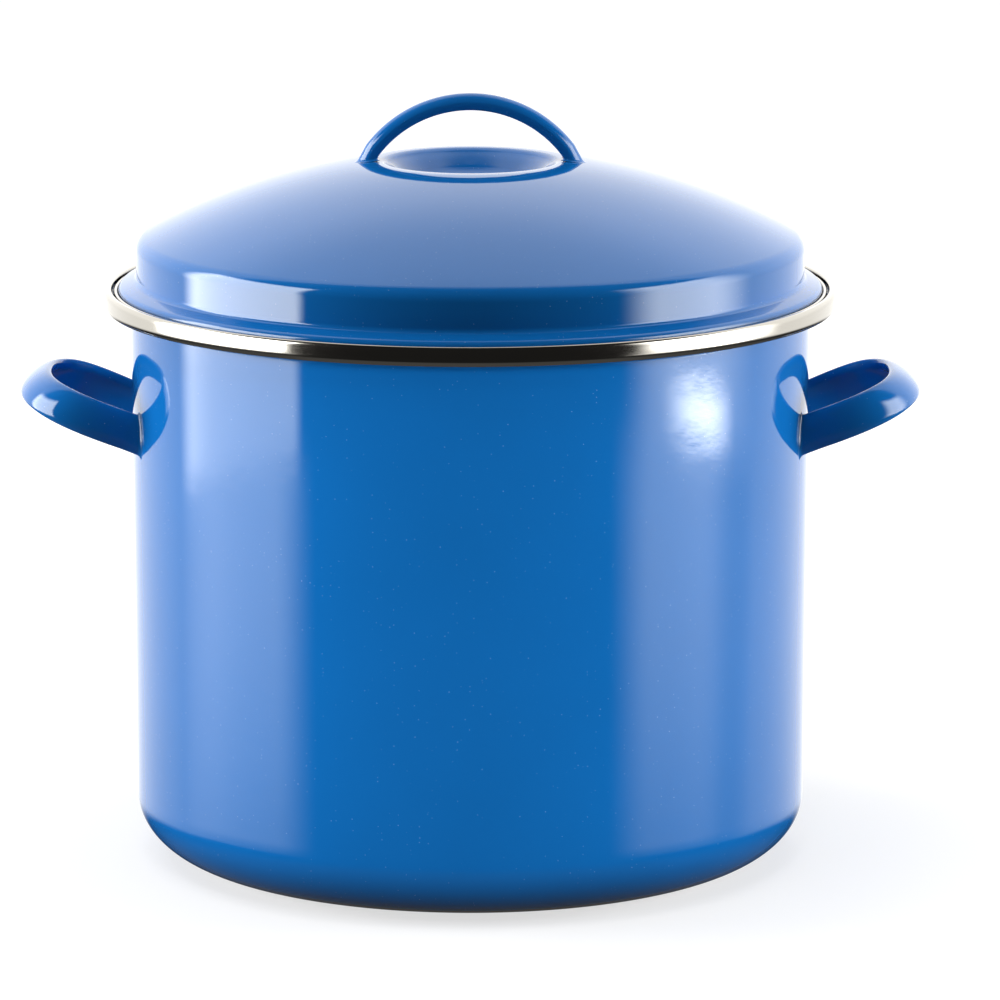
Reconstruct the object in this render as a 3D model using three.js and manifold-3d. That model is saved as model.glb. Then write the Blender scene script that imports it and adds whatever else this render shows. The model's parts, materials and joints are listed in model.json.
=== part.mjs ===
// Water bath canner: an enamelled steel pot with a steel rim band and two welded strap handles,
// a domed lid with its own band and handle, and a wire jar rack with two hinged lifting bails.
// Millimetres, +Z up, handles along X, foot of the pot on z = 0.
import * as THREE from "three";
import { mergeVertices } from "three/addons/utils/BufferGeometryUtils.js";
import Module from "manifold-3d";

const wasm = await Module();
wasm.setup();

// ---- driving dimensions -------------------------------------------------------------------
const GAP = 0.3; // left between pieces that touch or are welded
const SEGMENTS = 48; // round the big turned pieces
const POT = {
  footRadius: 148.1, wallRadius: 149.3, cornerAcross: 37.5, cornerUp: 27.8,
  sheet: 1.2, recess: 1.5, recessRadius: 86, ringRadius: 92,
  ledge: 247.4, flareRadius: 3.4, lipRadius: 160, lipCorner: 2, lipTop: 253.6,
};
const BAND = { outer: 161, sheet: 0.7, low: 246.4, top: 254.9, innerLow: 250.2 };
const LID = {
  sphere: 303, sphereZ: 10.7, wall: 146.85, shoulder: 7.2, sheet: 1.2,
  dishRim: 40.4, dishFloor: 299.8, foot: 260.5, footFillet: 2.6, flangeSlope: 20,
  lip: 154.8, lipCorner: 3, lipLow: 250.0,
};
const LID_BAND = { inner: 155.1, outer: 156.7, low: 248.9, top: 254.1, lipInner: 153.0 };
const SIDE = {
  root: 146, rootZ: 194.9, halfWidth: 49.8, reach: 48.7, power: 2.455, pinch: 0.263,
  tilt: 0.381, leanArm: 0.126, leanTip: 0.524, crown: 3.2, halfHeight: 8.3, tail: 14,
};
const TOP = { arcRadius: 57.2, arcZ: 282.7, halfWidth: 4.7, crown: 3.4, side: 7.1, sweep: 70 };
const RACK = {
  topRadius: 132, topZ: 86, topWire: 2.6, baseRadius: 112, baseZ: 16, baseWire: 2.4,
  centreRadius: 44, centreWire: 2.0, spoke: 2.0, ribZ: 11.3, footZ: 3.8, footRadius: 95,
  dividerZ: 90.9, outerLeg: 127, innerLeg: 48.3, jars: 6,
};
const BAIL = {
  x: 128.5, halfWidth: 30, eye: 5.6, wire: 2.0, lift: 9.6, end: 12, stepAt: 34, step: 16,
};

// ---- materials ----------------------------------------------------------------------------
const standard = (color, roughness, metalness) =>
  new THREE.MeshStandardMaterial({ color, roughness, metalness });
const enamel = standard(0x1f5fa8, 0.12, 0.1);
const stainless = standard(0xd9d5c8, 0.18, 1.0);
const chromed = standard(0xc9ccd0, 0.14, 1.0);

// ---- helpers ------------------------------------------------------------------------------
const rad = (deg) => (deg * Math.PI) / 180;

function arc(cr, cz, rr, rz, from, to, steps) {
  const out = [];
  for (let i = 0; i <= steps; i++) {
    const a = rad(from + ((to - from) * i) / steps);
    out.push([cr + rr * Math.cos(a), cz + rz * Math.sin(a)]);
  }
  return out;
}

// The same line moved d to its left.
function offsetLine(line, d) {
  return line.map((p, i) => {
    const before = line[Math.max(i - 1, 0)];
    const after = line[Math.min(i + 1, line.length - 1)];
    const unit = (a, b) => {
      const l = Math.hypot(b[0] - a[0], b[1] - a[1]);
      return [(b[0] - a[0]) / l, (b[1] - a[1]) / l];
    };
    const u = i === 0 ? unit(p, after) : unit(before, p);
    const v = i === line.length - 1 ? u : unit(p, after);
    let n = [-(u[1] + v[1]), u[0] + v[0]];
    const l = Math.hypot(...n);
    n = [n[0] / l, n[1] / l];
    const miter = d / Math.max(0.5, n[0] * -u[1] + n[1] * u[0]);
    const r = p[0] + n[0] * miter;
    return [p[0] < 1e-6 ? 0 : r, p[1] + n[1] * miter];
  });
}

// A solid of revolution from a closed counter-clockwise (radius, height) outline.
function turned(outline, segments = SEGMENTS) {
  const points = outline.map(([r, z]) => new THREE.Vector2(Math.max(r, 0), z));
  const closed = points[0].x > 1e-6 || points[points.length - 1].x > 1e-6;
  if (closed) points.push(points[0].clone());
  const g = new THREE.LatheGeometry(points, segments, Math.PI / 2);
  g.rotateX(Math.PI / 2);
  return g;
}

// A counter-clockwise section of (n, b) points swept through frames of {p, n, b}.
function swept(given, section, closed = false) {
  const position = [];
  const way = given[1].p.clone().sub(given[0].p);
  const forwards = given[0].n.clone().cross(given[0].b).dot(way) > 0;
  const frames = forwards ? given : [...given].reverse();
  const corner = frames.map((f) =>
    section.map(([a, c]) => f.p.clone().addScaledVector(f.n, a).addScaledVector(f.b, c)),
  );
  const face = (a, b, c) => [a, b, c].forEach((v) => position.push(v.x, v.y, v.z));
  const last = closed ? frames.length : frames.length - 1;
  for (let i = 0; i < last; i++) {
    const here = corner[i];
    const next = corner[(i + 1) % frames.length];
    for (let j = 0; j < section.length; j++) {
      const k = (j + 1) % section.length;
      face(here[j], here[k], next[k]);
      face(here[j], next[k], next[j]);
    }
  }
  if (!closed) {
    const flat = section.map(([a, c]) => new THREE.Vector2(a, c));
    const caps = THREE.ShapeUtils.triangulateShape(flat, []);
    for (const [a, b, c] of caps) {
      face(corner[0][a], corner[0][c], corner[0][b]);
      const end = corner[corner.length - 1];
      face(end[a], end[b], end[c]);
    }
  }
  const g = new THREE.BufferGeometry();
  g.setAttribute("position", new THREE.Float32BufferAttribute(position, 3));
  g.computeVertexNormals();
  return g;
}

const roundWire = (radius, sides) =>
  Array.from({ length: sides }, (_, i) => {
    const a = (2 * Math.PI * (i + 0.5)) / sides;
    return [radius * Math.cos(a), radius * Math.sin(a)];
  });

// Frames carried along a path without twisting.
function carried(points, closed = false) {
  const n = points.length;
  const at = (i) => (closed ? points[(i + n) % n] : points[Math.min(Math.max(i, 0), n - 1)]);
  const tangents = points.map((_, i) => at(i + 1).clone().sub(at(i - 1)).normalize());
  const start = Math.abs(tangents[0].z) < 0.9 ? new THREE.Vector3(0, 0, 1) : new THREE.Vector3(0, 1, 0);
  let normal = start.addScaledVector(tangents[0], -start.dot(tangents[0])).normalize();
  return points.map((p, i) => {
    const t = tangents[i];
    normal = normal.clone().addScaledVector(t, -normal.dot(t)).normalize();
    return { p, n: normal, b: t.clone().cross(normal) };
  });
}

const wire = (points, radius, sides = 6) => swept(carried(points), roundWire(radius, sides));

// A polyline with its inner corners rounded.
function bent(corners, radius, steps = 3) {
  const out = [corners[0].clone()];
  for (let i = 1; i < corners.length - 1; i++) {
    const a = corners[i - 1].clone().sub(corners[i]);
    const b = corners[i + 1].clone().sub(corners[i]);
    const cut = Math.min(radius, a.length() * 0.45, b.length() * 0.45);
    const from = corners[i].clone().addScaledVector(a.normalize(), cut);
    const to = corners[i].clone().addScaledVector(b.normalize(), cut);
    const curve = new THREE.QuadraticBezierCurve3(from, corners[i], to);
    out.push(...curve.getPoints(steps));
  }
  out.push(corners[corners.length - 1].clone());
  return out;
}

function solid(geometry) {
  const bare = new THREE.BufferGeometry();
  const flat = geometry.index ? geometry.toNonIndexed() : geometry;
  bare.setAttribute("position", flat.getAttribute("position").clone());
  const merged = mergeVertices(bare, 1e-3);
  return new wasm.Manifold(
    new wasm.Mesh({
      numProp: 3,
      vertProperties: new Float32Array(merged.attributes.position.array),
      triVerts: new Uint32Array(merged.index.array),
    }),
  );
}

// What is left of a geometry outside a cutter.
function cutAway(geometry, cutter) {
  const mesh = solid(geometry).subtract(solid(cutter)).getMesh();
  const g = new THREE.BufferGeometry();
  const flat = [];
  for (const v of mesh.triVerts) {
    flat.push(...mesh.vertProperties.slice(v * mesh.numProp, v * mesh.numProp + 3));
  }
  g.setAttribute("position", new THREE.Float32BufferAttribute(flat, 3));
  g.computeVertexNormals();
  return g;
}

const part = new THREE.Group();
part.name = "water_bath_canner";
function add(name, geometry, material) {
  const mesh = new THREE.Mesh(geometry, material);
  mesh.name = name;
  part.add(mesh);
}

// ---- pot ----------------------------------------------------------------------------------
function potOutside() {
  const p = POT;
  const cornerR = p.footRadius - p.cornerAcross;
  return [
    [0, p.recess], [p.recessRadius, p.recess], [p.ringRadius, 0],
    ...arc(cornerR, p.cornerUp, p.cornerAcross, p.cornerUp, -90, 0, 7),
    ...arc(p.wallRadius + p.flareRadius, p.ledge - p.flareRadius, p.flareRadius, p.flareRadius, 180, 90, 3),
    ...arc(p.lipRadius - p.lipCorner, p.ledge + p.lipCorner, p.lipCorner, p.lipCorner, -90, 0, 2),
    [p.lipRadius, p.lipTop],
  ];
}

function buildPot() {
  const outside = potOutside();
  const inside = offsetLine(outside, POT.sheet);
  inside[inside.length - 1][1] = POT.lipTop;
  add("pot_shell", turned([...outside, ...inside.reverse()]), enamel);

  const { outer, sheet, low, top, innerLow } = BAND;
  const leg = POT.lipRadius - POT.sheet - GAP; // inner leg's outer face
  const skin = outer - sheet;
  add("pot_rim_band", turned([
    [156.4, low], [outer - 0.6, low], [outer, low + 0.8], [outer, top - 0.9], [outer - 0.9, top],
    [leg - sheet + 0.6, top], [leg - sheet, top - 0.7], [leg - sheet, innerLow], [leg, innerLow],
    [leg, POT.lipTop + GAP], [skin, POT.lipTop + GAP], [skin, 249.1], [159.7, 247.9],
    [158.2, low + sheet], [156.4, low + sheet],
  ]), stainless);
}

// One loop handle; side is -1 or +1 along X.
function buildSideHandle(name, side) {
  const s = SIDE;
  const frames = [];
  const steps = 18;
  const power = 2 / s.power;
  const plan = (t) => {
    const c = Math.cos(t);
    const w = Math.sin(t);
    const x = s.reach * Math.sign(c) * Math.abs(c) ** power;
    const y = s.halfWidth * Math.sign(w) * Math.abs(w) ** power;
    return [x, y * (1 - s.pinch * (1 - Math.abs(x) / s.reach))];
  };
  const line = [];
  for (let i = 0; i <= steps; i++) line.push(plan(rad(-90 + (180 * i) / steps)));
  line.unshift([-s.tail, line[0][1]]);
  line.push([-s.tail, line[line.length - 1][1]]);
  const out = new THREE.Vector3(side * Math.cos(s.tilt), 0, Math.sin(s.tilt));
  const up = new THREE.Vector3(-side * Math.sin(s.tilt), 0, Math.cos(s.tilt));
  line.forEach(([x, y], i) => {
    const a = line[Math.max(i - 1, 0)];
    const b = line[Math.min(i + 1, line.length - 1)];
    const l = Math.hypot(b[0] - a[0], b[1] - a[1]);
    const normal = [(b[1] - a[1]) / l, -(b[0] - a[0]) / l];
    const p = new THREE.Vector3(side * s.root, 0, s.rootZ).addScaledVector(out, x);
    p.y = y;
    const face = out.clone().multiplyScalar(normal[0]);
    face.y += normal[1];
    const lean = s.leanArm + (s.leanTip - s.leanArm) * Math.max(normal[0], 0) ** 2;
    const n = face.clone().multiplyScalar(Math.cos(lean)).addScaledVector(up, Math.sin(lean));
    const b3 = up.clone().multiplyScalar(Math.cos(lean)).addScaledVector(face, -Math.sin(lean));
    frames.push({ p, n, b: b3 });
  });
  // Crowned outside, rolled top edge, and an inner face that is a little hollow.
  const section = [
    ...arc(0, 0, s.crown, s.halfHeight, -80, 140, 8),
    [-1.5, 2.2], [-1.0, -2.5], [-0.9, -7.4],
  ];
  const wall = turned([[0, 100], [149.62, 100], [149.62, 260], [0, 260]]);
  add(name, cutAway(swept(frames, section), wall), enamel);
}

// ---- lid ----------------------------------------------------------------------------------
function lidOutside() {
  const l = LID;
  const inner = l.sphere - l.shoulder;
  const centre = l.wall - l.shoulder;
  const centreZ = l.sphereZ + Math.sqrt(inner ** 2 - centre ** 2);
  const meet = (Math.atan2(centreZ - l.sphereZ, centre) * 180) / Math.PI;
  const dome = [45, 62, 80, 98, 115, 130].map((r) => [r, l.sphereZ + Math.sqrt(l.sphere ** 2 - r ** 2)]);
  const dish = [
    [0, l.dishFloor], [21, l.dishFloor + 0.1], [26, l.dishFloor + 1.2], [29.5, l.dishFloor + 3.0],
    [37.2, l.dishFloor + 9.8], [l.dishRim, l.dishFloor + 10.8],
  ];
  const endAngle = 270 - l.flangeSlope;
  const foot = arc(l.wall + l.footFillet, l.foot, l.footFillet, l.footFillet, 180, endAngle, 3);
  const sin = Math.sin(rad(l.flangeSlope));
  const cos = Math.cos(rad(l.flangeSlope));
  const [fr, fz] = foot[foot.length - 1];
  const rollR = l.lip - l.lipCorner;
  const startR = rollR + l.lipCorner * sin;
  const startZ = fz - ((startR - fr) * sin) / cos;
  const roll = arc(rollR, startZ - l.lipCorner * cos, l.lipCorner, l.lipCorner, 90 - l.flangeSlope, 0, 3);
  return [
    ...dish, ...dome,
    ...arc(centre, centreZ, l.shoulder, l.shoulder, meet, 0, 4),
    ...foot, ...roll, [l.lip, l.lipLow],
  ];
}

function buildLid() {
  const outside = lidOutside();
  const inside = offsetLine(outside, -LID.sheet);
  inside[inside.length - 1][1] = LID.lipLow;
  add("lid_shell", turned([...inside, ...outside.reverse()]), enamel);

  const b = LID_BAND;
  add("lid_rim_band", turned([
    [b.lipInner, b.low], [b.outer - 0.5, b.low], [b.outer, b.low + 0.5], [b.outer, b.top - 0.6],
    [b.outer - 0.6, b.top], [b.inner + 0.4, b.top], [b.inner, b.top - 0.4],
    [b.inner, b.low + 0.8], [b.lipInner, b.low + 0.8],
  ]), stainless);

  const t = TOP;
  const frames = [];
  const steps = 18;
  for (let i = 0; i <= steps; i++) {
    const a = rad(90 + t.sweep - (2 * t.sweep * i) / steps);
    const n = new THREE.Vector3(Math.cos(a), 0, Math.sin(a));
    const p = new THREE.Vector3(0, 0, t.arcZ).addScaledVector(n, t.arcRadius);
    frames.push({ p, n, b: new THREE.Vector3(0, -1, 0) });
  }
  // A formed channel: crowned top, short upright sides, hollow underneath.
  const half = [
    [0, 0], [-0.4, 2.0], [-1.5, 3.7], [-t.crown, t.halfWidth], [-t.side, t.halfWidth - 0.2],
    [-t.side, 3.0], [-5.6, 1.8],
  ];
  const section = [...half, ...half.slice(1).reverse().map(([n, b]) => [n, -b])];
  const skin = offsetLine(lidOutside(), GAP + 0.05).slice(0, 14);
  const cutter = turned([[0, 240], [skin[skin.length - 1][0], 240], ...skin.reverse()]);
  add("lid_handle", cutAway(swept(frames, section), cutter), enamel);
}

// ---- rack ---------------------------------------------------------------------------------
function ring(name, radius, z, wireRadius, steps) {
  const points = Array.from({ length: steps }, (_, i) => {
    const a = (2 * Math.PI * i) / steps;
    return new THREE.Vector3(radius * Math.cos(a), radius * Math.sin(a), z);
  });
  add(name, swept(carried(points, true), roundWire(wireRadius, 6), true), chromed);
}

function buildRack() {
  const k = RACK;
  ring("rack_top_ring", k.topRadius, k.topZ, k.topWire, 42);
  ring("rack_base_ring", k.baseRadius, k.baseZ, k.baseWire, 36);
  ring("rack_centre_top_ring", k.centreRadius, k.topZ, k.centreWire, 24);
  ring("rack_centre_base_ring", k.centreRadius, k.baseZ, k.centreWire, 24);
  for (let i = 0; i < k.jars; i++) {
    const a = rad(30 + (360 / k.jars) * i);
    const at = (r, z) => new THREE.Vector3(r * Math.cos(a), r * Math.sin(a), z);
    add(`rack_rib_${i + 1}`, wire(bent([
      at(k.centreRadius - 4, k.ribZ), at(k.footRadius - 7, k.ribZ), at(k.footRadius - 3, k.footZ),
      at(k.footRadius + 3, k.footZ), at(k.footRadius + 7, k.ribZ), at(k.baseRadius + 4.7, k.ribZ),
      at(k.outerLeg, k.topZ - 1),
    ], 4, 2), k.spoke), chromed);
    add(`rack_divider_${i + 1}`, wire(bent([
      at(k.topRadius + 3, k.dividerZ), at(k.innerLeg, k.dividerZ), at(k.innerLeg, k.baseZ),
    ], 7, 3), k.spoke), chromed);
  }
}

// A lifting bail, folded inwards; side is -1 or +1 along X.
function buildBail(name, side) {
  const b = BAIL;
  const v = (x, y, z) => new THREE.Vector3(side * x, y, z);
  const zLow = RACK.topZ + b.lift;
  const zHigh = zLow + b.step;
  const w = b.halfWidth;
  const eye = arc(b.x, RACK.topZ, b.eye, b.eye, 185, 440, 11).map(([x, z]) => v(x, w, z));
  const leg = (y) => [v(115, y, zLow), v(b.stepAt, y, zLow), v(b.stepAt - 5, y, zHigh), v(b.end, y, zHigh)];
  const flipped = (p) => new THREE.Vector3(p.x, -p.y, p.z);
  const corners = [eye[eye.length - 1], ...leg(w), ...leg(-w).reverse(), flipped(eye[eye.length - 1])];
  const middle = bent(corners, 9, 2);
  const points = [...eye, ...middle.slice(1, -1), ...eye.map(flipped).reverse()];
  add(name, wire(points, b.wire), chromed);
}

buildPot();
buildSideHandle("side_handle_left", -1);
buildSideHandle("side_handle_right", 1);
buildLid();
buildRack();
buildBail("rack_bail_left", -1);
buildBail("rack_bail_right", 1);

export default part;
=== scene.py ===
import json
import math

import bpy
from bpy.props import FloatProperty, FloatVectorProperty, IntProperty, PointerProperty
from mathutils import Matrix, Vector


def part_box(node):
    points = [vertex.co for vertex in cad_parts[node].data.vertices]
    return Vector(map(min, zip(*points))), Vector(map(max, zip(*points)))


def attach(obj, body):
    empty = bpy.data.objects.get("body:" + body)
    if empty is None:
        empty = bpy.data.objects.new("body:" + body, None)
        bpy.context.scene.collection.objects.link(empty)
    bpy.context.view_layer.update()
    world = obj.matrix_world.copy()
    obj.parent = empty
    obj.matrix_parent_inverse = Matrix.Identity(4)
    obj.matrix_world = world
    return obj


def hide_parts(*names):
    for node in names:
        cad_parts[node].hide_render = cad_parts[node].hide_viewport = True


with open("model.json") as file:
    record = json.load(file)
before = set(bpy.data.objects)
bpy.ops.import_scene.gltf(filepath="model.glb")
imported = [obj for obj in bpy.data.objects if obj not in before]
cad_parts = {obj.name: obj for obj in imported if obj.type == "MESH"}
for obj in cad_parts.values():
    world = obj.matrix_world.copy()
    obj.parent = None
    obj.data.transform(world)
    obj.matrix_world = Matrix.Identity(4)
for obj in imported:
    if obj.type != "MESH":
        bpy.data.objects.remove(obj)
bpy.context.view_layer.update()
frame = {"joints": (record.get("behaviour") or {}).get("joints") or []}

bl_info = {
    "name": "Water Bath Canner",
    "version": (1, 0, 0),
    "blender": (4, 5, 0),
    "location": "View3D > Sidebar > Canner",
    "description": "Builds an enamelled water bath canner with its rim bands, lid and wire jar rack",
    "category": "Object",
}

MM = 0.001
BAND_LOW, BAND_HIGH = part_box("pot_rim_band")
SHELL_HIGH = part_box("pot_shell")[1]
LID_RING_LOW, LID_RING_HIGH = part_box("lid_rim_band")
GRIP_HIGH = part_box("lid_handle")[1]
HINGE = {j["name"]: Vector(j["pos_m"]) for j in frame["joints"] if "pos_m" in j}

LEDGE_TOP = 247.4 * MM        # top of the ledge that the pot's wall turns out into
LIP_ROUND = 0.4 * MM          # rounding of the pot lip's cut edge
SPHERE_CENTRE = 10.7 * MM     # height of the centre of the lid's sphere
LID_LIP_FOOT = 250.0 * MM     # height of the bottom of the lid's lip
TOP_WIRES, BASE_WIRES = 86, 16   # heights of the rack's hoops, in mm
SPOKES = 6                    # ribs, and dividers, round the rack
ON_AXIS = 1e-7                # a radius below this is on the turning axis


# ---- what a user would change ---------------------------------------------------------------

class CannerSizes(bpy.types.PropertyGroup):
    wall: FloatProperty(
        name="Wall radius", description="Outside radius of the pot just under its rim",
        default=149.3 * MM, unit="LENGTH")
    foot: FloatProperty(
        name="Foot radius", description="Outside radius of the pot at the top of its bottom corner",
        default=148.1 * MM, unit="LENGTH")
    corner_across: FloatProperty(
        name="Bottom corner, across", description="How far the bottom corner reaches inwards",
        default=37.5 * MM, unit="LENGTH")
    corner_up: FloatProperty(
        name="Bottom corner, up", description="How far the bottom corner reaches up the wall",
        default=27.8 * MM, unit="LENGTH")
    sheet: FloatProperty(
        name="Sheet", description="Thickness of the enamelled steel",
        default=1.2 * MM, unit="LENGTH")
    lip: FloatProperty(
        name="Pot lip radius", description="Outside radius of the pot's turned-up lip",
        default=SHELL_HIGH.x, unit="LENGTH")
    dome: FloatProperty(
        name="Dome radius", description="Radius of the sphere that the lid's top belongs to",
        default=303 * MM, unit="LENGTH")
    lid_wall: FloatProperty(
        name="Lid wall radius", description="Outside radius of the lid's upright wall",
        default=146.85 * MM, unit="LENGTH")
    dish: FloatProperty(
        name="Dish radius", description="Radius of the finger dish under the lid's handle",
        default=40.4 * MM, unit="LENGTH")
    turn_steps: IntProperty(
        name="Steps round", description="Faces round each turned piece", default=224, min=24)


class CannerColours(bpy.types.PropertyGroup):
    enamel: FloatVectorProperty(
        name="Enamel", description="Blue of the glassy enamel",
        subtype="COLOR", size=3, min=0, max=1, default=(0.004, 0.115, 0.38))
    fleck: FloatVectorProperty(
        name="Flecks", description="Pale flecks in the enamel",
        subtype="COLOR", size=3, min=0, max=1, default=(0.45, 0.62, 0.85))
    stainless: FloatVectorProperty(
        name="Rim bands", description="Polished stainless steel of the two rim bands",
        subtype="COLOR", size=3, min=0, max=1, default=(0.44, 0.425, 0.39))
    plating: FloatVectorProperty(
        name="Rack plating", description="Bright plating of the wire rack",
        subtype="COLOR", size=3, min=0, max=1, default=(0.80, 0.81, 0.83))
    floor: FloatVectorProperty(
        name="Floor", description="Pale surface that the pot stands on",
        subtype="COLOR", size=3, min=0, max=1, default=(0.36, 0.36, 0.36))


# ---- shapes ---------------------------------------------------------------------------------

def arc(cr, cz, rr, rz, start, end, steps):
    """Points of an elliptical arc in the (radius, height) plane, angles in degrees."""
    out = []
    for i in range(steps + 1):
        a = math.radians(start + (end - start) * i / steps)
        out.append((cr + rr * math.cos(a), cz + rz * math.sin(a)))
    return out


def offset_line(line, d):
    """The same open line moved d to its left."""
    out = []
    for i, p in enumerate(line):
        a, b = Vector(line[max(i - 1, 0)]), Vector(line[min(i + 1, len(line) - 1)])
        q = Vector(p)
        u = (q - a).normalized() if i else (b - q).normalized()
        v = (b - q).normalized() if i < len(line) - 1 else u
        n = Vector((-(u.y + v.y), u.x + v.x)).normalized()
        reach = d / max(0.5, n.x * -u.y + n.y * u.x)
        out.append((0.0 if p[0] < ON_AXIS else p[0] + n.x * reach, p[1] + n.y * reach))
    return out


def make_mesh(name, points, faces, sharp=40):
    """A smooth-shaded piece whose edges stay sharp above the given angle in degrees."""
    mesh = bpy.data.meshes.new(name)
    mesh.from_pydata([tuple(p) for p in points], [], faces)
    mesh.validate()
    mesh.polygons.foreach_set("use_smooth", [True] * len(mesh.polygons))
    mesh.set_sharp_from_angle(angle=math.radians(sharp))
    mesh.update()
    piece = bpy.data.objects.new(name, mesh)
    bpy.context.scene.collection.objects.link(piece)
    return piece


def turned(name, outline, steps, sharp=40):
    """A closed (radius, height) outline turned about Z; points on the axis are shared."""
    points, rings = [], []
    for r, z in outline:
        if r < ON_AXIS:
            rings.append([len(points)] * steps)
            points.append((0, 0, z))
        else:
            rings.append(list(range(len(points), len(points) + steps)))
            for k in range(steps):
                a = 2 * math.pi * k / steps
                points.append((r * math.cos(a), r * math.sin(a), z))
    faces = []
    count = len(outline)
    for i in range(count):
        here, there = rings[i], rings[(i + 1) % count]
        if outline[i][0] < ON_AXIS and outline[(i + 1) % count][0] < ON_AXIS:
            continue
        for k in range(steps):
            m = (k + 1) % steps
            quad = [here[k], here[m], there[m], there[k]]
            faces.append(tuple(v for j, v in enumerate(quad) if v not in quad[:j]))
    return make_mesh(name, points, faces, sharp)


def swept_rings(rings, closed):
    """Points and faces of a skin through rings of equal length, capped at both ends unless closed."""
    n = len(rings[0])
    points = [p for ring in rings for p in ring]
    faces = []
    last = len(rings) if closed else len(rings) - 1
    for i in range(last):
        a, b = i * n, ((i + 1) % len(rings)) * n
        for j in range(n):
            k = (j + 1) % n
            faces.append((a + j, a + k, b + k, b + j))
    if not closed:
        faces.append(tuple(range(n - 1, -1, -1)))
        faces.append(tuple(range((len(rings) - 1) * n, len(rings) * n)))
    return points, faces


def carried(path, closed=False):
    """Frames (point, normal, other) carried along a path without twisting."""
    n = len(path)
    out, normal = [], None
    for i, p in enumerate(path):
        before = path[(i - 1) % n] if closed else path[max(i - 1, 0)]
        after = path[(i + 1) % n] if closed else path[min(i + 1, n - 1)]
        t = (after - before).normalized()
        if normal is None:
            normal = Vector((0, 0, 1)) if abs(t.z) < 0.9 else Vector((0, 1, 0))
        normal = (normal - t * normal.dot(t)).normalized()
        out.append((p, normal, t.cross(normal)))
    return out


def wire_mesh(path, radius, sides=14, closed=False):
    """Points and faces of a round wire, its cut ends slightly rounded."""
    frames = carried(path, closed)
    circle = [(math.cos(2 * math.pi * k / sides), math.sin(2 * math.pi * k / sides))
              for k in range(sides)]
    rings = [[p + n * (radius * c) + b * (radius * s) for c, s in circle] for p, n, b in frames]
    if closed:
        return swept_rings(rings, closed)

    bulge = 0.45 * radius

    def cap(end, inner):
        p, n, b = frames[end]
        way = (p - frames[inner][0]).normalized()
        return [[p + way * (bulge * math.sin(a)) + (n * c + b * s) * (radius * math.cos(a))
                 for c, s in circle] for a in (math.radians(35), math.radians(68))]

    return swept_rings(cap(0, 1)[::-1] + rings + cap(-1, -2), closed)


def joined(name, parts, sharp=40):
    """One piece from several sets of points and faces."""
    points, faces = [], []
    for p, f in parts:
        base = len(points)
        points += p
        faces += [tuple(base + v for v in face) for face in f]
    return make_mesh(name, points, faces, sharp)


def bent(corners, radius, steps=7):
    """A polyline with its corners rounded."""
    out = [corners[0].copy()]
    for i in range(1, len(corners) - 1):
        a, b = corners[i - 1] - corners[i], corners[i + 1] - corners[i]
        cut = min(radius, a.length * 0.45, b.length * 0.45)
        start, end = corners[i] + a.normalized() * cut, corners[i] + b.normalized() * cut
        for k in range(steps + 1):
            t = k / steps
            out.append(start * (1 - t) ** 2 + corners[i] * (2 * t * (1 - t)) + end * t * t)
    out.append(corners[-1].copy())
    return out


def bar_section(half):
    """The lid handle's section: round top, a crease, short upright sides, a groove underneath."""
    tall, top_steps, top_sweep = 5.2 * MM, 16, 70
    top = []
    for i in range(top_steps + 1):
        q = math.radians(top_sweep * i / top_steps)
        top.append((tall * math.cos(q) - tall, half * 1.045 * math.sin(q)))
    crease, edge = (-3.62 * MM, half * 0.997), (-5.4 * MM, half * 0.975)
    lower = arc(-6.4 * MM, half - 0.85 * MM, 0.7 * MM, 0.7 * MM, 90, 180, 5)
    groove = [(-7.05 * MM, half - 1.9 * MM), (-6.3 * MM, half - 2.5 * MM), (-5.8 * MM, 1 * MM)]
    one = top + [crease, edge] + lower + groove
    return one + [(x, -y) for x, y in reversed(one[1:])]


def loop_section(crown, half):
    """A loop handle's section: crowned outside, rolled top edge, inner face a little hollow."""
    outer = arc(0, 0, crown, half, -80, 140, 26)
    inner = [(-1.95, 3.9), (-1.45, 2.2), (-1.15, 0.2), (-1.0, -2.5),
             (-0.95, -5.0), (-0.85, -7.0), (-0.55, -7.9), (-0.1, -8.2)]
    return outer + [(x * MM, y * MM) for x, y in inner]


def section_normals(section):
    """The outward direction at each point of a closed section."""
    out = []
    for i in range(len(section)):
        a, b = section[i - 1], section[(i + 1) % len(section)]
        t = Vector((b[0] - a[0], b[1] - a[1])).normalized()
        out.append((t.y, -t.x))
    return out


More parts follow.
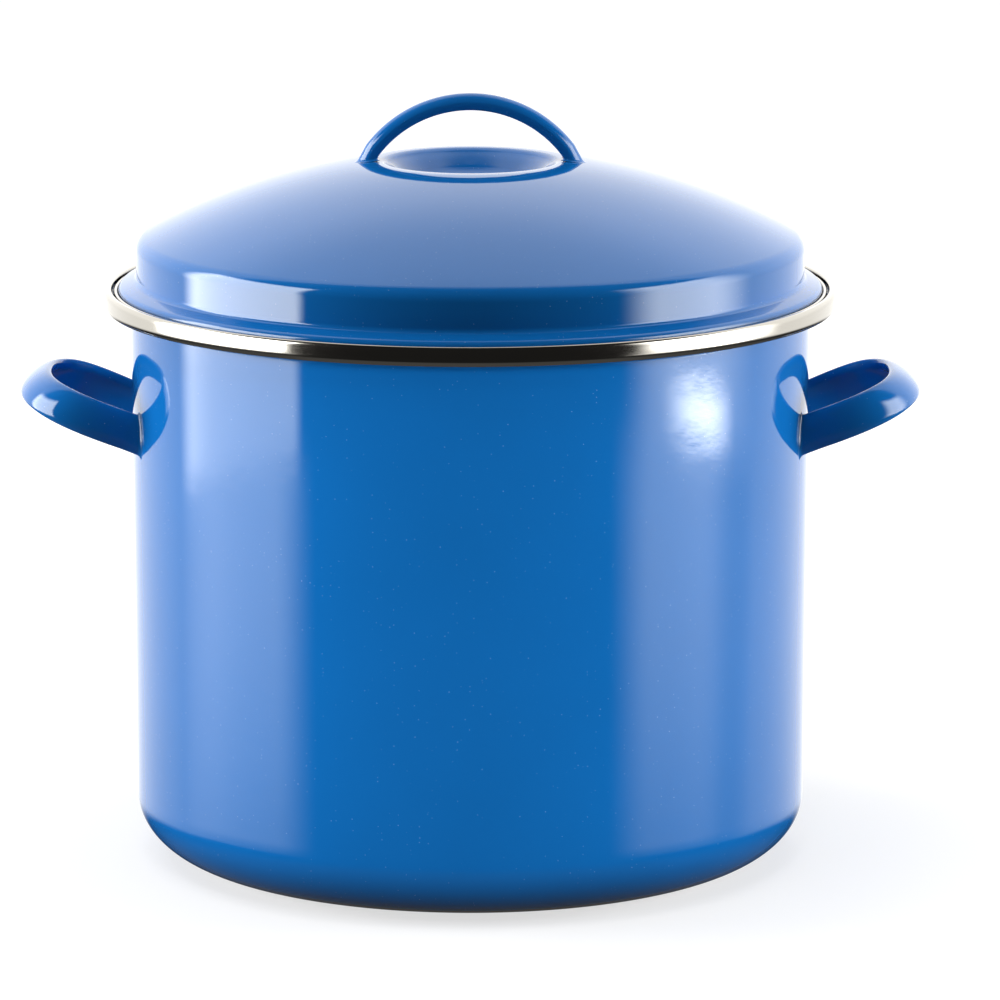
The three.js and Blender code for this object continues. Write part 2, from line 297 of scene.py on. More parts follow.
def welded_strap(name, frames, section, depth, surface_normal, flare):
    """A strap whose two ends spread on to a surface in a smooth weld.

    depth(p) is positive outside the surface and negative inside it.
    """
    bury = 0.08 * MM   # how far the weld's edge sinks into the surface
    steps = 7          # rows across the weld's curve
    normals = section_normals(section)
    rings = [[p + n * x + b * y for x, y in section] for p, n, b in frames]

    def landing(buried, clear):
        """Where each line from a buried point to a clear one crosses the surface."""
        ends = []
        for inner, outer in zip(buried, clear):
            for _ in range(40):
                middle = (inner + outer) / 2
                if depth(middle) < 0:
                    inner = middle
                else:
                    outer = middle
            ends.append(outer)
        return ends

    def skirt(index, step):
        """The first ring clear of the weld, and the weld's rows down to the surface."""
        i = index
        while min(depth(p) for p in rings[i]) < flare * 1.05:
            i += step
        _, n, b = frames[i]
        foot = landing(rings[index], rings[i])
        rows = []
        for k in range(steps + 1):
            t = k / steps
            row = []
            for j, at in enumerate(foot):
                away = n * normals[j][0] + b * normals[j][1]
                up = surface_normal(at)
                away = (away - up * away.dot(up)).normalized()
                along = (rings[i][j] - at).normalized()
                top, low = at + along * flare, at + away * flare - up * bury
                row.append(top * (1 - t) ** 2 + at * (2 * t * (1 - t)) + low * t * t)
            rows.append(row)
        return i, rows

    first, start = skirt(0, 1)
    last, end = skirt(len(rings) - 1, -1)
    body = rings[first:last + 1]
    points, faces = swept_rings(start[::-1] + body + end, False)
    return make_mesh(name, points, faces, 60)


def show(piece, body, replaces, material):
    """Give a piece its finish, the body it rides on and the nodes that it stands for."""
    piece.data.materials.clear()
    piece.data.materials.append(material)
    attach(piece, body)
    for node in replaces:
        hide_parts(node)


# ---- finishes -------------------------------------------------------------------------------

def new_material(name):
    material = bpy.data.materials.new(name)
    material.use_nodes = True
    nodes = material.node_tree.nodes
    return material, nodes, material.node_tree.links, nodes["Principled BSDF"]


def math_node(nodes, links, operation, a, b=None, c=None):
    node = nodes.new("ShaderNodeMath")
    node.operation = operation
    for i, value in enumerate((a, b, c)):
        if value is None:
            continue
        if isinstance(value, (int, float)):
            node.inputs[i].default_value = value
        else:
            links.new(value, node.inputs[i])
    return node.outputs[0]


def noise_node(nodes, links, coords, scale, detail):
    node = nodes.new("ShaderNodeTexNoise")
    node.inputs["Scale"].default_value = scale
    node.inputs["Detail"].default_value = detail
    links.new(coords, node.inputs["Vector"])
    return node.outputs["Fac"]


def range_node(nodes, links, value, start, end, low, high, smooth=False):
    """The value carried from start..end to low..high."""
    node = nodes.new("ShaderNodeMapRange")
    if smooth:
        node.interpolation_type = "SMOOTHSTEP"
    links.new(value, node.inputs["Value"])
    for key, v in (("From Min", start), ("From Max", end), ("To Min", low), ("To Max", high)):
        node.inputs[key].default_value = v
    return node.outputs["Result"]


def colour_mix(nodes, links, factor, first, second):
    """A mix from the first colour to the second; either may be another node's output."""
    node = nodes.new("ShaderNodeMix")
    node.data_type = "RGBA"
    links.new(factor, node.inputs["Factor"])
    for socket, colour in (("A", first), ("B", second)):
        if isinstance(colour, bpy.types.NodeSocket):
            links.new(colour, node.inputs[socket])
        else:
            node.inputs[socket].default_value = (*colour, 1)
    return node.outputs["Result"]


def add_bump(nodes, links, shader, height, strength, distance):
    bump = nodes.new("ShaderNodeBump")
    bump.inputs["Strength"].default_value = strength
    bump.inputs["Distance"].default_value = distance
    links.new(height, bump.inputs["Height"])
    links.new(bump.outputs["Normal"], shader.inputs["Normal"])


def enamel_material(name, colour, fleck_colour):
    """Glassy blue enamel: clouded colour, scattered pale flecks, a faint orange-peel surface."""
    material, nodes, links, shader = new_material(name)
    coords = nodes.new("ShaderNodeTexCoord").outputs["Object"]
    cloud = noise_node(nodes, links, coords, 14, 5)
    tone = colour_mix(nodes, links, cloud, [v * 0.93 for v in colour], [v * 1.07 for v in colour])

    cells_per_metre, fleck_size, fleck_cut, fleck_strength = 560, 0.11, 0.72, 0.42
    cells = nodes.new("ShaderNodeTexVoronoi")
    cells.inputs["Scale"].default_value = cells_per_metre
    links.new(coords, cells.inputs["Vector"])
    split = nodes.new("ShaderNodeSeparateColor")
    links.new(cells.outputs["Color"], split.inputs["Color"])
    near = math_node(nodes, links, "LESS_THAN", cells.outputs["Distance"], fleck_size)
    rare = math_node(nodes, links, "GREATER_THAN", split.outputs["Red"], fleck_cut)
    strength = math_node(nodes, links, "MULTIPLY", split.outputs["Green"], fleck_strength)
    where = math_node(nodes, links, "MULTIPLY", near, rare)
    fleck = math_node(nodes, links, "MULTIPLY", where, strength)
    links.new(colour_mix(nodes, links, fleck, tone, fleck_colour), shader.inputs["Base Color"])

    ripple = noise_node(nodes, links, coords, 75, 3)
    peel = noise_node(nodes, links, coords, 600, 2)
    height = math_node(nodes, links, "MULTIPLY_ADD", peel, 0.06, ripple)
    add_bump(nodes, links, shader, height, 1, 0.000011)

    links.new(range_node(nodes, links, cloud, 0, 1, 0.025, 0.055), shader.inputs["Roughness"])
    shader.inputs["IOR"].default_value = 1.5
    shader.inputs["Specular Tint"].default_value = (0.92, 0.965, 0.97, 1)
    return material


def steel_material(name, colour):
    """Polished stainless strip: fine marks running round it, and a soft haze that varies."""
    material, nodes, links, shader = new_material(name)
    coords = nodes.new("ShaderNodeTexCoord").outputs["Object"]
    split = nodes.new("ShaderNodeSeparateXYZ")
    links.new(coords, split.inputs["Vector"])
    x, y, z = split.outputs

    def m(operation, a, b=None, c=None):
        return math_node(nodes, links, operation, a, b, c)

    fine, along = 2600, 9   # marks per metre across the strip, and along it
    radius = m("SQRT", m("ADD", m("MULTIPLY", x, x), m("MULTIPLY", y, y)))
    marks = nodes.new("ShaderNodeCombineXYZ")
    for axis, value, scale in (("X", radius, fine), ("Y", z, fine), ("Z", x, along)):
        links.new(m("MULTIPLY", value, scale), marks.inputs[axis])
    polish = noise_node(nodes, links, marks.outputs["Vector"], 1, 3)
    haze = noise_node(nodes, links, coords, 30, 4)
    rough = m("MULTIPLY_ADD", haze, 0.06, m("MULTIPLY_ADD", polish, 0.05, 0.05))
    links.new(rough, shader.inputs["Roughness"])
    darker, lighter = [v * 0.96 for v in colour], [min(1, v * 1.03) for v in colour]
    links.new(colour_mix(nodes, links, haze, darker, lighter), shader.inputs["Base Color"])
    add_bump(nodes, links, shader, polish, 0.5, 0.000004)
    shader.inputs["Metallic"].default_value = 1
    return material


def plating_material(name, colour):
    """Bright plated wire: slightly uneven plating with small dull patches."""
    material, nodes, links, shader = new_material(name)
    coords = nodes.new("ShaderNodeTexCoord").outputs["Object"]
    dull = noise_node(nodes, links, coords, 60, 5)
    links.new(range_node(nodes, links, dull, 0.35, 0.75, 0.08, 0.26), shader.inputs["Roughness"])
    red, green, blue = colour
    tint = colour_mix(nodes, links, dull, colour, (red * 0.86, green * 0.84, blue * 0.80))
    links.new(tint, shader.inputs["Base Color"])
    grain = noise_node(nodes, links, coords, 900, 2)
    add_bump(nodes, links, shader, grain, 0.6, 0.00002)
    shader.inputs["Metallic"].default_value = 1
    return material


def finish_named(name, maker, *colours):
    """The finish of this name, made the first time that it is asked for."""
    return bpy.data.materials.get(name) or maker(name, *colours)


def enamel(context):
    c = context.scene.canner_colours
    return finish_named("blue_enamel", enamel_material, tuple(c.enamel), tuple(c.fleck))


def stainless(context):
    c = context.scene.canner_colours
    return finish_named("rim_stainless", steel_material, tuple(c.stainless))


def plating(context):
    c = context.scene.canner_colours
    return finish_named("rack_plating", plating_material, tuple(c.plating))


# ---- the pieces -----------------------------------------------------------------------------

def pot_outside(s):
    """The pot's outside from the middle of its base to the top of its lip."""
    flare, turn = 3.4 * MM, 2 * MM
    wall_top = LEDGE_TOP - flare
    base = [(0, 1.5), (40, 1.5), (84, 1.5), (86.5, 1.35), (89, 0.75), (91.5, 0.15), (94, 0), (102, 0)]
    rows = (0.02, 0.1, 0.3, 0.5, 0.7, 0.9, 0.985, 0.997)   # closer at the wall's two ends
    return ([(r * MM, z * MM) for r, z in base]
            + arc(s.foot - s.corner_across, s.corner_up, s.corner_across, s.corner_up, -90, 0, 30)
            + [(s.foot + (s.wall - s.foot) * t, s.corner_up + (wall_top - s.corner_up) * t)
               for t in rows]
            + arc(s.wall + flare, wall_top, flare, flare, 180, 90, 10)
            + arc(s.lip - turn, LEDGE_TOP + turn, turn, turn, -90, 0, 8)
            + [(s.lip, SHELL_HIGH.z - LIP_ROUND)])


class CANNER_OT_pot(bpy.types.Operator):
    """Build the pot's enamelled shell"""
    bl_idname = "canner.pot"
    bl_label = "Pot shell"

    def execute(self, context):
        s = context.scene.canner_sizes
        outside = pot_outside(s)
        inside = offset_line(outside, s.sheet)
        edge = SHELL_HIGH.z - LIP_ROUND
        lip = arc(s.lip - s.sheet / 2, edge, s.sheet / 2, LIP_ROUND, 0, 180, 6)
        inside[-1] = (s.lip - s.sheet, edge)
        shell = turned("pot_body", outside + lip[1:-1] + inside[::-1], s.turn_steps)
        show(shell, "pot", ["pot_shell"], enamel(context))
        return {"FINISHED"}


class CANNER_OT_bands(bpy.types.Operator):
    """Build the stainless bands crimped round the pot's and the lid's edges"""
    bl_idname = "canner.bands"
    bl_label = "Rim bands"

    def execute(self, context):
        s = context.scene.canner_sizes
        strip, gap = 0.7 * MM, 0.3 * MM
        outer, low, top = BAND_HIGH.x, BAND_LOW.z, BAND_HIGH.z
        skin = outer - strip
        leg = s.lip - s.sheet - gap      # outside of the leg that goes down inside the lip
        leg_end = 250.2 * MM
        hem = 156.4 * MM                 # where the band's lower edge ends under the ledge
        tall, low_roll, top_roll, inner_roll = 2.8 * MM, 1.2 * MM, 1.6 * MM, 0.9 * MM
        outline = ([(hem, low)]
                   + arc(outer - low_roll, low + tall, low_roll, tall, -90, 0, 12)
                   + arc(outer - top_roll, top - tall, top_roll, tall, 0, 90, 14)
                   + arc(leg - strip + inner_roll, top - inner_roll, inner_roll, inner_roll, 90, 180, 6)
                   + [(leg - strip, leg_end), (leg, leg_end), (leg, SHELL_HIGH.z + gap),
                      (skin, SHELL_HIGH.z + gap), (skin, 249.1 * MM), (159.7 * MM, 247.9 * MM),
                      (158.2 * MM, low + strip), (hem, low + strip)])
        band = turned("pot_band", outline, s.turn_steps, 50)
        show(band, "pot", ["pot_rim_band"], stainless(context))

        low, top = LID_RING_LOW.z, LID_RING_HIGH.z
        outer, inner, hem = LID_RING_HIGH.x, 155.1 * MM, 153.0 * MM
        strip, low_roll, top_roll = 0.8 * MM, 0.5 * MM, 0.78 * MM
        outline = ([(hem, low)]
                   + arc(outer - low_roll, low + low_roll, low_roll, low_roll, -90, 0, 5)
                   + arc(outer - top_roll, top - top_roll, top_roll, top_roll, 0, 90, 8)
                   + arc(inner + top_roll, top - top_roll, top_roll, top_roll, 90, 180, 8)
                   + [(inner, low + strip), (hem, low + strip)])
        ring = turned("lid_band", outline, s.turn_steps, 50)
        show(ring, "lid", ["lid_rim_band"], stainless(context))
        return {"FINISHED"}


class CANNER_OT_side_handles(bpy.types.Operator):
    """Build the two loop handles welded to the pot's wall"""
    bl_idname = "canner.side_handles"
    bl_label = "Side handles"

    def execute(self, context):
        s = context.scene.canner_sizes
        section = loop_section(3.2 * MM, 8.3 * MM)
        tilt, lean_arm, lean_tip = 0.381, 0.126, 0.524   # radians: the loop's rise, its edge's lean
        reach, half, power, narrowing = 48.7 * MM, 49.8 * MM, 2 / 2.455, 0.263
        steps, tail_steps, tail_length = 96, 8, 14 * MM
        root_radius, root_height, wall_top = 146 * MM, 194.9 * MM, 244 * MM

        def plan(t):
            """The loop seen square on: a fat oval that narrows towards the wall."""
            c, w = math.cos(t), math.sin(t)
            x = reach * abs(c) ** power
            y = math.copysign(half * abs(w) ** power, w)
            return x, y * (1 - narrowing * (1 - x / reach))

        flat = [plan(math.radians(-90 + 180 * (0.5 - 0.5 * math.cos(math.pi * i / steps))))
                for i in range(steps + 1)]
        tail = [(-tail_length + tail_length * i / tail_steps, flat[0][1]) for i in range(tail_steps)]
        flat = tail + flat + [(x, -y) for x, y in reversed(tail)]

        def depth(p):
            up_wall = (p.z - s.corner_up) / (wall_top - s.corner_up)
            return math.hypot(p.x, p.y) - (s.foot + (s.wall - s.foot) * up_wall)

        def wall_normal(p):
            return Vector((p.x, p.y, 0)).normalized()

        for name, side in (("left", -1), ("right", 1)):
            out = Vector((side * math.cos(tilt), 0, math.sin(tilt)))
            up = Vector((-side * math.sin(tilt), 0, math.cos(tilt)))
            frames = []
            for i, (x, y) in enumerate(flat):
                a, b = flat[max(i - 1, 0)], flat[min(i + 1, len(flat) - 1)]
                long = math.hypot(b[0] - a[0], b[1] - a[1])
                nx, ny = (b[1] - a[1]) / long, -(b[0] - a[0]) / long
                p = Vector((side * root_radius, 0, root_height)) + out * x
                p.y = y
                face = out * nx + Vector((0, ny, 0))
                lean = lean_arm + (lean_tip - lean_arm) * max(nx, 0) ** 2
                frames.append((p, face * math.cos(lean) + up * math.sin(lean),
                               up * math.cos(lean) - face * math.sin(lean)))
            if side < 0:
                frames.reverse()
            handle = welded_strap(f"loop_handle_{name}", frames, section, depth, wall_normal, 2.2 * MM)
            show(handle, "pot", [f"side_handle_{name}"], enamel(context))
        return {"FINISHED"}


def lid_outside(s):
    """The lid's outside from the middle of its dish to the bottom of its lip."""
    shoulder = 7.2 * MM
    centre = s.lid_wall - shoulder
    centre_z = SPHERE_CENTRE + math.sqrt((s.dome - shoulder) ** 2 - centre ** 2)
    meet = math.degrees(math.atan2(centre_z - SPHERE_CENTRE, centre))
    pull_start, pull_full, pull_slope = 56, 49, 0.03   # radii in mm, and mm of fall per mm

    def dome_z(r):
        """A sphere, pulled slightly flat round the pressed dish."""
        near, pull = r / MM, 0
        span = pull_start - pull_full
        if near <= pull_full:
            pull = pull_slope * (span / 2 + pull_full - near)
        elif near < pull_start:
            pull = pull_slope * (pull_start - near) ** 2 / (2 * span)
        return SPHERE_CENTRE + math.sqrt(s.dome ** 2 - r ** 2) - pull * MM

    dish_floor, drawn_dish = 299.8 * MM, 40.4 * MM
    dish_profile = ([(0, 0), (12, 0.01), (20, 0.05)] + arc(20.5, 12.6, 12.5, 12.5, -88, -43, 10)
                    + [(32.1, 5.9), (34.3, 7.95)] + arc(40.1, 5.15, 5.35, 5.35, 137, 94, 10)
                    + [(41.2, 10.46)])
    scale = s.dish / drawn_dish
    dish = [(r * MM * scale, dish_floor + z * MM) for r, z in dish_profile]
    dome_start, dome_steps = s.dish + 2.6 * MM, 40
    radii = [dome_start + (centre - dome_start) * i / dome_steps for i in range(dome_steps)]
    dome = [(r, dome_z(r)) for r in radii]

    fillet, wall_foot = 2.6 * MM, 260.5 * MM
    rows = (0.03, 0.08, 0.5, 0.92, 0.97)   # closer at the wall's two ends
    wall = [(s.lid_wall, centre_z - (centre_z - wall_foot) * t) for t in rows]
    curve = arc(s.lid_wall + fillet, wall_foot, fillet, fillet, 180, 250, 10)
    slope = math.radians(20)
    roll, lip = 3 * MM, 154.8 * MM
    flange_r, flange_z = curve[-1]
    roll_r = lip - roll + roll * math.sin(slope)
    roll_z = flange_z - (roll_r - flange_r) * math.tan(slope)
    return (dish + dome + arc(centre, centre_z, shoulder, shoulder, meet, 0, 18) + wall + curve
            + arc(lip - roll, roll_z - roll * math.cos(slope), roll, roll, 70, 0, 10)
            + [(lip, LID_LIP_FOOT)])


class CANNER_OT_lid(bpy.types.Operator):
    """Build the domed lid's enamelled shell"""
    bl_idname = "canner.lid"
    bl_label = "Lid shell"

    def execute(self, context):
        s = context.scene.canner_sizes
        outside = lid_outside(s)
        inside = offset_line(outside, -s.sheet)
        inside[-1] = (inside[-1][0], LID_LIP_FOOT)
        shell = turned("lid_body", inside + outside[::-1], s.turn_steps)
        show(shell, "lid", ["lid_shell"], enamel(context))
        return {"FINISHED"}


class CANNER_OT_lid_handle(bpy.types.Operator):
    """Build the arched handle on top of the lid"""
    bl_idname = "canner.lid_handle"
    bl_label = "Lid handle"

    def execute(self, context):
        s = context.scene.canner_sizes
        arch, sweep, steps = 57.2 * MM, 140, 140   # outer radius, degrees, rings
        section = bar_section(GRIP_HIGH.y)
        arch_centre = Vector((0, 0, GRIP_HIGH.z - arch))
        frames = []
        for i in range(steps + 1):
            a = math.radians(90 - sweep / 2 + sweep * i / steps)
            n = Vector((math.cos(a), 0, math.sin(a)))
            frames.append((arch_centre + n * arch, n, Vector((0, 1, 0))))
        middle = Vector((0, 0, SPHERE_CENTRE))

        def depth(p):
            return (p - middle).length - s.dome

        def dome_normal(p):
            return (p - middle).normalized()

        grip = welded_strap("lid_grip", frames, section, depth, dome_normal, 1.4 * MM)
        show(grip, "lid", ["lid_handle"], enamel(context))
        return {"FINISHED"}


def ring_path(radius, z, steps):
    """Points round a level circle."""
    out = []
    for k in range(steps):
        a = 2 * math.pi * k / steps
        out.append(Vector((radius * math.cos(a), radius * math.sin(a), z)))
    return out


def weld_nugget(at, size):
    """A small uneven blob of weld metal."""
    rows, around, unevenness = 8, 12, 0.12
    rings = []
    for i in range(1, rows):
        a = math.pi * i / rows
        ring = []
        for k in range(around):
            b = 2 * math.pi * k / around
            swell = 1 + unevenness * math.sin(3 * b + at.x * 900) * math.sin(2 * a + at.y * 700)
            way = Vector((math.sin(a) * math.cos(b), math.sin(a) * math.sin(b), math.cos(a)))
            ring.append(at + way * size * swell)
        rings.append(ring)
    return swept_rings(rings, False)


class CANNER_OT_rack(bpy.types.Operator):
    """Build the wire rack's rings, ribs and dividers with their welds"""
    bl_idname = "canner.rack"
    bl_label = "Jar rack"

    def execute(self, context):
        metal = plating(context)
        hoop, centre_hoop = 112, 44     # radii of the base hoop and of the middle jar's hoops, in mm
        rings = (("top_ring", 132, TOP_WIRES, 2.6), ("base_ring", hoop, BASE_WIRES, 2.4),
                 ("centre_top_ring", centre_hoop, TOP_WIRES, 2.0),
                 ("centre_base_ring", centre_hoop, BASE_WIRES, 2.0))
        for name, radius, z, wire in rings:
            mesh = wire_mesh(ring_path(radius * MM, z * MM, 144), wire * MM, 16, closed=True)
            show(joined(f"wire_{name}", [mesh]), "rack", [f"rack_{name}"], metal)

        wire = 2 * MM
        run, sole, over = 11.3, 3.8, 90.9      # heights in mm: rib under the hoops, its foot, divider
        rib_line = [(40, run), (88, run), (92, sole), (98, sole), (102, run), (116.7, run), (127, 85)]
        divider_line = [(135, over), (48.3, over), (48.3, BASE_WIRES)]
        weld_places = ((centre_hoop, 13.6, 1.7), (hoop, 13.4, 1.8), (128.6, 84.4, 1.9),
                       (132, 88.6, 1.9), (46.1, 16.2, 1.6), (46.1, 86.6, 1.6))
        welds = []
        for i in range(SPOKES):
            a = math.radians(30 + 360 / SPOKES * i)

            def at(r, z):
                return Vector((r * MM * math.cos(a), r * MM * math.sin(a), z * MM))

            for kind, line, bend in (("rib", rib_line, 4), ("divider", divider_line, 7)):
                mesh = wire_mesh(bent([at(r, z) for r, z in line], bend * MM), wire)
                show(joined(f"wire_{kind}_{i + 1}", [mesh]), "rack",
                     [f"rack_{kind}_{i + 1}"], metal)
            welds += [weld_nugget(at(r, z), size * MM) for r, z, size in weld_places]
        show(joined("wire_welds", welds, 80), "rack", [], metal)
        return {"FINISHED"}


class CANNER_OT_bails(bpy.types.Operator):
    """Build the two lifting bails hinged on the rack's top ring"""
    bl_idname = "canner.bails"
    bl_label = "Lifting bails"

    def execute(self, context):
        metal = plating(context)
        half, eye_radius, rise, hook = 30 * MM, 5.6 * MM, 9.6 * MM, 16 * MM
        for name, side in (("left", -1), ("right", 1)):
            pivot = HINGE[f"bail_{name}_hinge"]
            low = pivot.z + rise
            high = low + hook

            def at(x, y, z):
                return Vector((side * x, y, z))

            curl = arc(abs(pivot.x), pivot.z, eye_radius, eye_radius, 185, 440, 30)
            eye = [at(x, half, z) for x, z in curl]
            leg = [(115, low), (34, low), (29, high), (12, high)]
            corners = ([eye[-1]] + [at(x * MM, half, z) for x, z in leg]
                       + [at(x * MM, -half, z) for x, z in reversed(leg)]
                       + [Vector((eye[-1].x, -half, eye[-1].z))])
            other = [Vector((p.x, -p.y, p.z)) for p in reversed(eye)]
            path = eye + bent(corners, 9 * MM)[1:-1] + other
            bail = joined(f"wire_bail_{name}", [wire_mesh(path, 2 * MM)])
            show(bail, f"bail_{name}", [f"rack_bail_{name}"], metal)
        return {"FINISHED"}


# ---- floor, light and camera ----------------------------------------------------------------

def studio_world(context):
    """A pale studio: two tall soft boxes, bright back and ceiling, dark where the viewer stands.

    Directions are in degrees: turn runs from straight in front round to each side, rise goes up.
    """
    world = bpy.data.worlds.new("studio")
    context.scene.world = world
    world.use_nodes = True
    nodes, links = world.node_tree.nodes, world.node_tree.links
    nodes.clear()

    def m(operation, a, b=None, c=None):
        return math_node(nodes, links, operation, a, b, c)

    way = nodes.new("ShaderNodeTexCoord").outputs["Generated"]
    split = nodes.new("ShaderNodeSeparateXYZ")
    links.new(way, split.inputs["Vector"])
    x, y, z = split.outputs
    to_degrees = 180 / math.pi
    turn = m("MULTIPLY", m("ARCTAN2", x, m("MULTIPLY", y, -1)), to_degrees)
    rise = m("MULTIPLY", m("ARCSINE", z), to_degrees)
    aside = m("ABSOLUTE", turn)

    def step(value, start, end, low=0.0, high=1.0):
        return range_node(nodes, links, value, start, end, low, high, smooth=True)

    def patch(value, a, b, soft_a, soft_b):
        """One between a and b, falling to nothing over the two soft edges."""
        opening = step(value, a - soft_a, a + soft_a)
        closing = step(value, b - soft_b, b + soft_b, 1, 0)
        return m("MULTIPLY", opening, closing)

    def panel(across, up):
        return m("MULTIPLY", patch(turn, *across), patch(rise, *up))

    upper = step(rise, -10.4, -9.8, 1.0, 1.9)
    left_box = m("MULTIPLY", panel((-112, -60, 5, 2.5), (-11.38, 34, 0.17, 4)), upper)
    right_box = m("MULTIPLY", panel((60, 102, 9, 12), (-11.15, 34, 0.35, 4)), upper)
    spot = panel((74, 94, 8, 8), (-11.08, -10.74, 0.22, 0.22))
    left_low = panel((-106, -62, 12, 9), (-14.3, -11.38, 2.7, 0.17))
    right_low = panel((56, 97, 9, 14), (-14.3, -11.15, 2.7, 0.35))
    wall_behind = m("MULTIPLY", step(aside, 94, 114), step(rise, 52, 34, 0.75))
    behind = m("MULTIPLY", wall_behind, step(rise, -19, -12))
    zenith = m("MULTIPLY", step(rise, 84, 62, 0.25), step(rise, -6, 12, 0.85, 1.0))
    back = m("MULTIPLY", behind, zenith)
    ceiling = m("MULTIPLY", step(rise, 30, 50), step(aside, 60, 120))
    table = step(rise, -20, -32)

    total = 0.02
    for part, brightness in ((left_box, 5.9), (right_box, 4.6), (spot, 24), (left_low, 3.9),
                             (right_low, 3.2), (back, 1.75), (ceiling, 0.2), (table, 0.09)):
        total = m("MULTIPLY_ADD", part, brightness, total)

    lit = nodes.new("ShaderNodeBackground")
    lit.inputs["Color"].default_value = (1, 0.985, 0.955, 1)
    links.new(total, lit.inputs["Strength"])
    plain = nodes.new("ShaderNodeBackground")
    plain.inputs["Color"].default_value = (1, 1, 1, 1)
    plain.inputs["Strength"].default_value = 1
    seen = nodes.new("ShaderNodeLightPath").outputs["Is Camera Ray"]
    mix = nodes.new("ShaderNodeMixShader")
    links.new(seen, mix.inputs["Fac"])
    links.new(lit.outputs[0], mix.inputs[1])
    links.new(plain.outputs[0], mix.inputs[2])
    out = nodes.new("ShaderNodeOutputWorld")
    links.new(mix.outputs[0], out.inputs["Surface"])
    world.cycles.sampling_method = "MANUAL"
    world.cycles.sample_map_resolution = 2048
    world.cycles_visibility.diffuse = False


def soft_light(context, name, place, target, size, watts):
    """A broad lamp that shades surfaces but isn't mirrored in them."""
    lamp = bpy.data.lights.new(name, "AREA")
    lamp.shape = "RECTANGLE"
    lamp.size, lamp.size_y = size
    lamp.energy = watts
    light = bpy.data.objects.new(name, lamp)
    context.scene.collection.objects.link(light)
    light.location = place
    light.rotation_euler = (Vector(target) - Vector(place)).to_track_quat("-Z", "Y").to_euler()
    light.visible_glossy = False
    light.visible_camera = False
    return light


def lay_floor(context):
    """A broad pale disc that glows, its glow rising with the distance from the pot so that it runs into
    white; the dimmer glow near the pot is painted shade round the pot's foot.
    """
    colour = context.scene.canner_colours.floor
    steps, drop = 96, 0.2 * MM
    rings = [ring_path(radius, -drop, steps) for radius in (0.02, 0.5, 1.5, 4, 9)]
    points, faces = swept_rings(rings, False)
    floor = make_mesh("floor", points, faces[:-1])   # the outer ring needs no cap

    material, nodes, links, shader = new_material("pale_floor")
    coords = nodes.new("ShaderNodeTexCoord").outputs["Object"]
    mottle = noise_node(nodes, links, coords, 2, 2)
    tone = colour_mix(nodes, links, mottle, [v * 0.99 for v in colour], colour)
    links.new(tone, shader.inputs["Base Color"])
    shader.inputs["Roughness"].default_value = 0.9
    shader.inputs["Specular IOR Level"].default_value = 0
    reach = nodes.new("ShaderNodeVectorMath")
    reach.operation = "LENGTH"
    links.new(coords, reach.inputs[0])
    # painted shade: the floor's glow is weaker near the pot, darkening the floor round the pot's foot
    glow = range_node(nodes, links, reach.outputs["Value"], 0.16, 0.55, 0.66, 1, smooth=True)
    links.new(glow, shader.inputs["Emission Strength"])
    shader.inputs["Emission Color"].default_value = (1, 1, 1, 1)
    floor.data.materials.append(material)
    floor.visible_glossy = False
    floor.visible_diffuse = False
    floor.visible_shadow = False


def set_lights(context):
    """Set the lamps, each given as name, place, target, size and watts."""
    body, side_size = (0, 0, 0.17), (0.9, 0.5)
    lamps = (("overhead", (-0.25, -0.1, 1.9), (0, 0, 0.2), (2.2, 2.2), 38),
             ("left_side", (-1.5, 0.15, 0.3), body, side_size, 33),
             ("right_side", (1.5, 0.12, 0.3), body, side_size, 31),
             ("key", (-0.1, -1.9, 2.0), (0, 0, 0.2), (0.3, 0.3), 6),
             ("front", (0, -1.3, 0.55), (0, 0, 0.15), (1.2, 0.4), 12.5),
             ("table_bounce", (0, -0.42, 0.004), (0, -0.42, 1), side_size, 0.9))
    lights = {lamp[0]: soft_light(context, *lamp) for lamp in lamps}
    walls = bpy.data.collections.new("walls_for_front_light")
    walls.objects.link(bpy.data.objects["pot_body"])
    lights["front"].light_linking.receiver_collection = walls


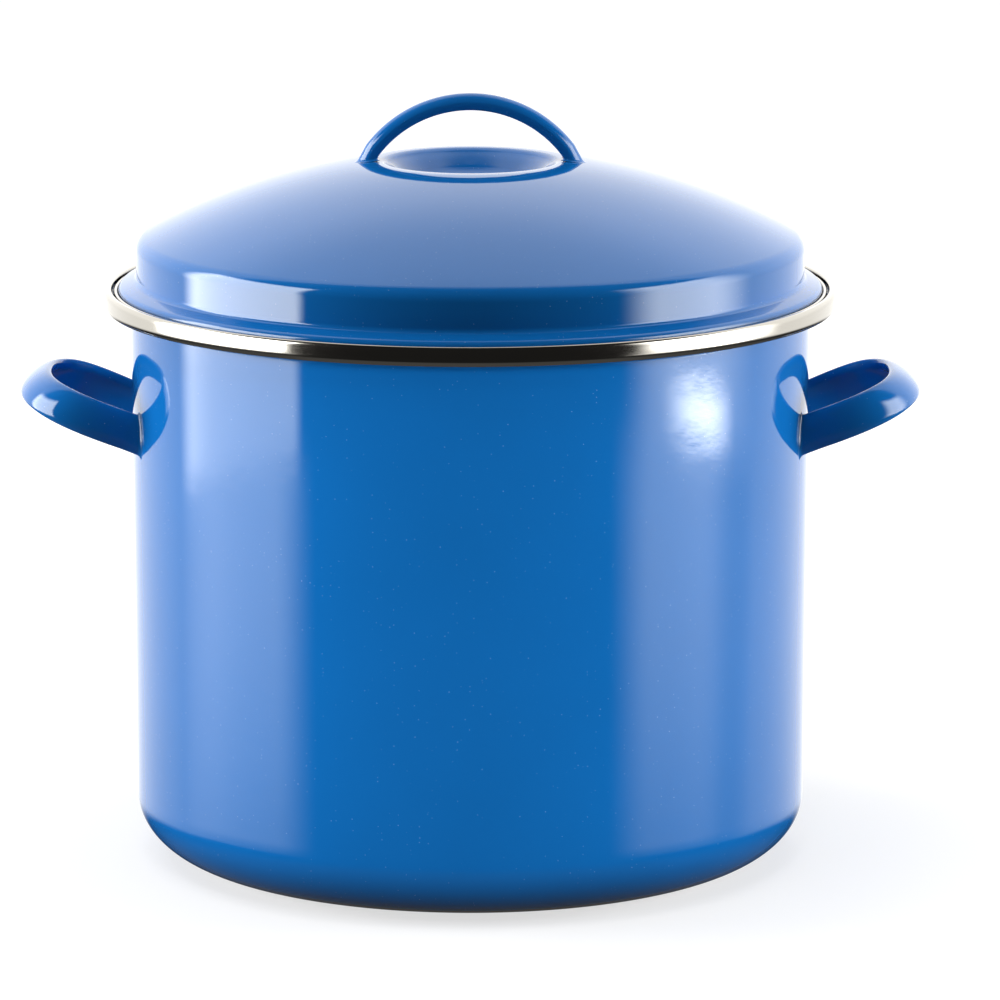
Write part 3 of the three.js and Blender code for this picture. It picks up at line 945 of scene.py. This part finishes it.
def set_camera(context):
    """A long lens a little above the pot, looking slightly down."""
    lens = bpy.data.cameras.new("camera")
    lens.sensor_width = 36
    lens.lens = 251.6
    lens.shift_x, lens.shift_y = 0.0297, 0.0437
    lens.dof.use_dof = False
    lens.clip_start, lens.clip_end = 0.05, 60
    look_down = 0.2012   # radians
    camera = bpy.data.objects.new("camera", lens)
    context.scene.collection.objects.link(camera)
    camera.location = (0, -3.0365, 0.7579)
    camera.rotation_euler = (math.pi / 2 - look_down, 0, 0)
    context.scene.camera = camera


class CANNER_OT_stage(bpy.types.Operator):
    """Lay the floor and set the light and the camera"""
    bl_idname = "canner.stage"
    bl_label = "Floor, light and camera"

    def execute(self, context):
        lay_floor(context)
        studio_world(context)
        set_lights(context)
        set_camera(context)
        context.scene.view_settings.view_transform = "Standard"
        return {"FINISHED"}


class CANNER_PT_panel(bpy.types.Panel):
    bl_label = "Water Bath Canner"
    bl_idname = "CANNER_PT_panel"
    bl_space_type = "VIEW_3D"
    bl_region_type = "UI"
    bl_category = "Canner"

    def draw(self, context):
        layout = self.layout
        for group in (context.scene.canner_sizes, context.scene.canner_colours):
            box = layout.box()
            for key in group.__annotations__:
                box.prop(group, key)
        for operator in OPERATORS:
            layout.operator(operator.bl_idname)


OPERATORS = (CANNER_OT_pot, CANNER_OT_bands, CANNER_OT_side_handles, CANNER_OT_lid,
             CANNER_OT_lid_handle, CANNER_OT_rack, CANNER_OT_bails, CANNER_OT_stage)
CLASSES = (CannerSizes, CannerColours, *OPERATORS, CANNER_PT_panel)


def register():
    for cls in CLASSES:
        bpy.utils.register_class(cls)
    bpy.types.Scene.canner_sizes = PointerProperty(type=CannerSizes)
    bpy.types.Scene.canner_colours = PointerProperty(type=CannerColours)


def unregister():
    del bpy.types.Scene.canner_colours
    del bpy.types.Scene.canner_sizes
    for cls in reversed(CLASSES):
        bpy.utils.unregister_class(cls)


def main():
    register()
    bpy.ops.canner.pot()
    bpy.ops.canner.bands()
    bpy.ops.canner.side_handles()
    bpy.ops.canner.lid()
    bpy.ops.canner.lid_handle()
    bpy.ops.canner.rack()
    bpy.ops.canner.bails()
    bpy.ops.canner.stage()


if __name__ == "__main__":
    main()
